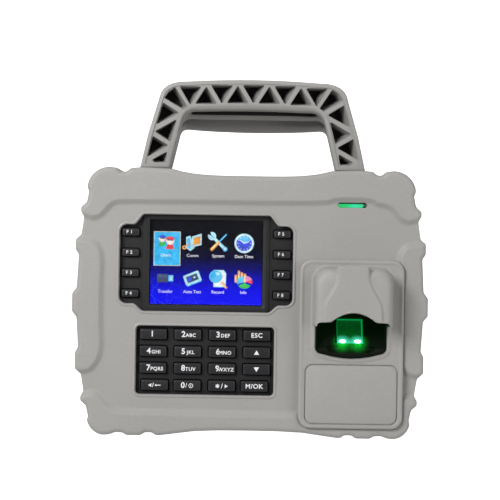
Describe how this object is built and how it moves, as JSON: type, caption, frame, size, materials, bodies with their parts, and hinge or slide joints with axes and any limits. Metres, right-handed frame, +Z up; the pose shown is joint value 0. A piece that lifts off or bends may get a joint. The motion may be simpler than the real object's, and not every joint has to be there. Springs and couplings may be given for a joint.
{
  "type": "fingerprint scanner terminal",
  "caption": "Portable fingerprint terminal with carrying handle, hooded finger sensor, colour screen, soft keys, number pad, card reading pad and status light.",
  "frame": {"origin": "on the surface the feet stand on, midway across the width and the whole depth", "axes": "+X to the right seen from the front, +Y from the front to the back, +Z up"},
  "size_m": [0.2218, 0.106, 0.2263],
  "materials": {
    "housing": "soft-touch grey rubberised plastic, fine grain",
    "handle": "grey moulded plastic, fine grain",
    "black_frame": "black moulded plastic, fine spark-eroded grain",
    "keys": "satin black key caps",
    "legend": "printed white legends",
    "rubber_parts": "matt black rubber",
    "screen_cover": "clear polished cover",
    "lcd": "lit colour display",
    "status_lamp": "lit green light guide",
    "sensor_glass": "polished glass block lit green from below",
    "boards": "green solder mask",
    "steel_parts": "plated steel",
    "battery": "shrink wrapped cells"
  },
  "bodies": {
    "housing": {"front_housing": "housing", "rear_housing": "housing", "fingerprint_cover": "housing", "card_panel": "housing", "battery_door": "housing", "handle_front_frame": "handle", "handle_rear_frame": "handle", "handle_core": "black_frame", "housing_seal": "rubber_parts", "keypad_mat": "rubber_parts", "display_bezel": "black_frame", "keypad_frame": "black_frame", "sensor_cradle": "black_frame", "display_window": "screen_cover", "lcd_panel": "lcd", "lcd_frame": "steel_parts", "display_board": "boards", "keypad_board": "boards", "main_board": "boards", "card_antenna": "boards", "sensor_module": "boards", "status_led_board": "boards", "io_board": "boards", "sensor_prism": "sensor_glass", "status_light": "status_lamp", "speaker": "steel_parts", "battery_pack": "battery", "port_door_pin": "steel_parts", "usb_socket": "steel_parts", "network_socket": "steel_parts", "power_socket": "black_frame", "housing_screw_1": "steel_parts", "housing_screw_2": "steel_parts", "housing_screw_3": "steel_parts", "housing_screw_4": "steel_parts"},
    "key_1_cap": {"key_1": "keys"},
    "key_2_cap": {"key_2": "keys"},
    "key_3_cap": {"key_3": "keys"},
    "key_esc_cap": {"key_esc": "keys"},
    "key_4_cap": {"key_4": "keys"},
    "key_5_cap": {"key_5": "keys"},
    "key_6_cap": {"key_6": "keys"},
    "key_up_cap": {"key_up": "keys"},
    "key_7_cap": {"key_7": "keys"},
    "key_8_cap": {"key_8": "keys"},
    "key_9_cap": {"key_9": "keys"},
    "key_down_cap": {"key_down": "keys"},
    "key_back_cap": {"key_back": "keys"},
    "key_0_cap": {"key_0": "keys"},
    "key_star_cap": {"key_star": "keys"},
    "key_ok_cap": {"key_ok": "keys"},
    "key_f1_cap": {"key_f1": "keys"},
    "key_f2_cap": {"key_f2": "keys"},
    "key_f3_cap": {"key_f3": "keys"},
    "key_f4_cap": {"key_f4": "keys"},
    "key_f5_cap": {"key_f5": "keys"},
    "key_f6_cap": {"key_f6": "keys"},
    "key_f7_cap": {"key_f7": "keys"},
    "key_f8_cap": {"key_f8": "keys"},
    "port_flap": {"port_door": "rubber_parts"}
  },
  "joints": [
    {"name": "key_1_press", "type": "slide", "parent": "housing", "child": "key_1_cap", "axis": [0, 1, 0], "range_m": [0, 0.0012], "stiffness_N_per_m": 700, "springref_m": -0.0006},
    {"name": "key_2_press", "type": "slide", "parent": "housing", "child": "key_2_cap", "axis": [0, 1, 0], "range_m": [0, 0.0012], "stiffness_N_per_m": 700, "springref_m": -0.0006},
    {"name": "key_3_press", "type": "slide", "parent": "housing", "child": "key_3_cap", "axis": [0, 1, 0], "range_m": [0, 0.0012], "stiffness_N_per_m": 700, "springref_m": -0.0006},
    {"name": "key_esc_press", "type": "slide", "parent": "housing", "child": "key_esc_cap", "axis": [0, 1, 0], "range_m": [0, 0.0012], "stiffness_N_per_m": 700, "springref_m": -0.0006},
    {"name": "key_4_press", "type": "slide", "parent": "housing", "child": "key_4_cap", "axis": [0, 1, 0], "range_m": [0, 0.0012], "stiffness_N_per_m": 700, "springref_m": -0.0006},
    {"name": "key_5_press", "type": "slide", "parent": "housing", "child": "key_5_cap", "axis": [0, 1, 0], "range_m": [0, 0.0012], "stiffness_N_per_m": 700, "springref_m": -0.0006},
    {"name": "key_6_press", "type": "slide", "parent": "housing", "child": "key_6_cap", "axis": [0, 1, 0], "range_m": [0, 0.0012], "stiffness_N_per_m": 700, "springref_m": -0.0006},
    {"name": "key_up_press", "type": "slide", "parent": "housing", "child": "key_up_cap", "axis": [0, 1, 0], "range_m": [0, 0.0012], "stiffness_N_per_m": 700, "springref_m": -0.0006},
    {"name": "key_7_press", "type": "slide", "parent": "housing", "child": "key_7_cap", "axis": [0, 1, 0], "range_m": [0, 0.0012], "stiffness_N_per_m": 700, "springref_m": -0.0006},
    {"name": "key_8_press", "type": "slide", "parent": "housing", "child": "key_8_cap", "axis": [0, 1, 0], "range_m": [0, 0.0012], "stiffness_N_per_m": 700, "springref_m": -0.0006},
    {"name": "key_9_press", "type": "slide", "parent": "housing", "child": "key_9_cap", "axis": [0, 1, 0], "range_m": [0, 0.0012], "stiffness_N_per_m": 700, "springref_m": -0.0006},
    {"name": "key_down_press", "type": "slide", "parent": "housing", "child": "key_down_cap", "axis": [0, 1, 0], "range_m": [0, 0.0012], "stiffness_N_per_m": 700, "springref_m": -0.0006},
    {"name": "key_back_press", "type": "slide", "parent": "housing", "child": "key_back_cap", "axis": [0, 1, 0], "range_m": [0, 0.0012], "stiffness_N_per_m": 700, "springref_m": -0.0006},
    {"name": "key_0_press", "type": "slide", "parent": "housing", "child": "key_0_cap", "axis": [0, 1, 0], "range_m": [0, 0.0012], "stiffness_N_per_m": 700, "springref_m": -0.0006},
    {"name": "key_star_press", "type": "slide", "parent": "housing", "child": "key_star_cap", "axis": [0, 1, 0], "range_m": [0, 0.0012], "stiffness_N_per_m": 700, "springref_m": -0.0006},
    {"name": "key_ok_press", "type": "slide", "parent": "housing", "child": "key_ok_cap", "axis": [0, 1, 0], "range_m": [0, 0.0012], "stiffness_N_per_m": 700, "springref_m": -0.0006},
    {"name": "key_f1_press", "type": "slide", "parent": "housing", "child": "key_f1_cap", "axis": [0, 1, 0], "range_m": [0, 0.0012], "stiffness_N_per_m": 700, "springref_m": -0.0006},
    {"name": "key_f2_press", "type": "slide", "parent": "housing", "child": "key_f2_cap", "axis": [0, 1, 0], "range_m": [0, 0.0012], "stiffness_N_per_m": 700, "springref_m": -0.0006},
    {"name": "key_f3_press", "type": "slide", "parent": "housing", "child": "key_f3_cap", "axis": [0, 1, 0], "range_m": [0, 0.0012], "stiffness_N_per_m": 700, "springref_m": -0.0006},
    {"name": "key_f4_press", "type": "slide", "parent": "housing", "child": "key_f4_cap", "axis": [0, 1, 0], "range_m": [0, 0.0012], "stiffness_N_per_m": 700, "springref_m": -0.0006},
    {"name": "key_f5_press", "type": "slide", "parent": "housing", "child": "key_f5_cap", "axis": [0, 1, 0], "range_m": [0, 0.0012], "stiffness_N_per_m": 700, "springref_m": -0.0006},
    {"name": "key_f6_press", "type": "slide", "parent": "housing", "child": "key_f6_cap", "axis": [0, 1, 0], "range_m": [0, 0.0012], "stiffness_N_per_m": 700, "springref_m": -0.0006},
    {"name": "key_f7_press", "type": "slide", "parent": "housing", "child": "key_f7_cap", "axis": [0, 1, 0], "range_m": [0, 0.0012], "stiffness_N_per_m": 700, "springref_m": -0.0006},
    {"name": "key_f8_press", "type": "slide", "parent": "housing", "child": "key_f8_cap", "axis": [0, 1, 0], "range_m": [0, 0.0012], "stiffness_N_per_m": 700, "springref_m": -0.0006},
    {"name": "port_door_swing", "type": "hinge", "parent": "housing", "child": "port_flap", "pos_m": [0, 0.0504, 0.0505], "axis": [1, 0, 0], "range_deg": [0, 100]}
  ]
}
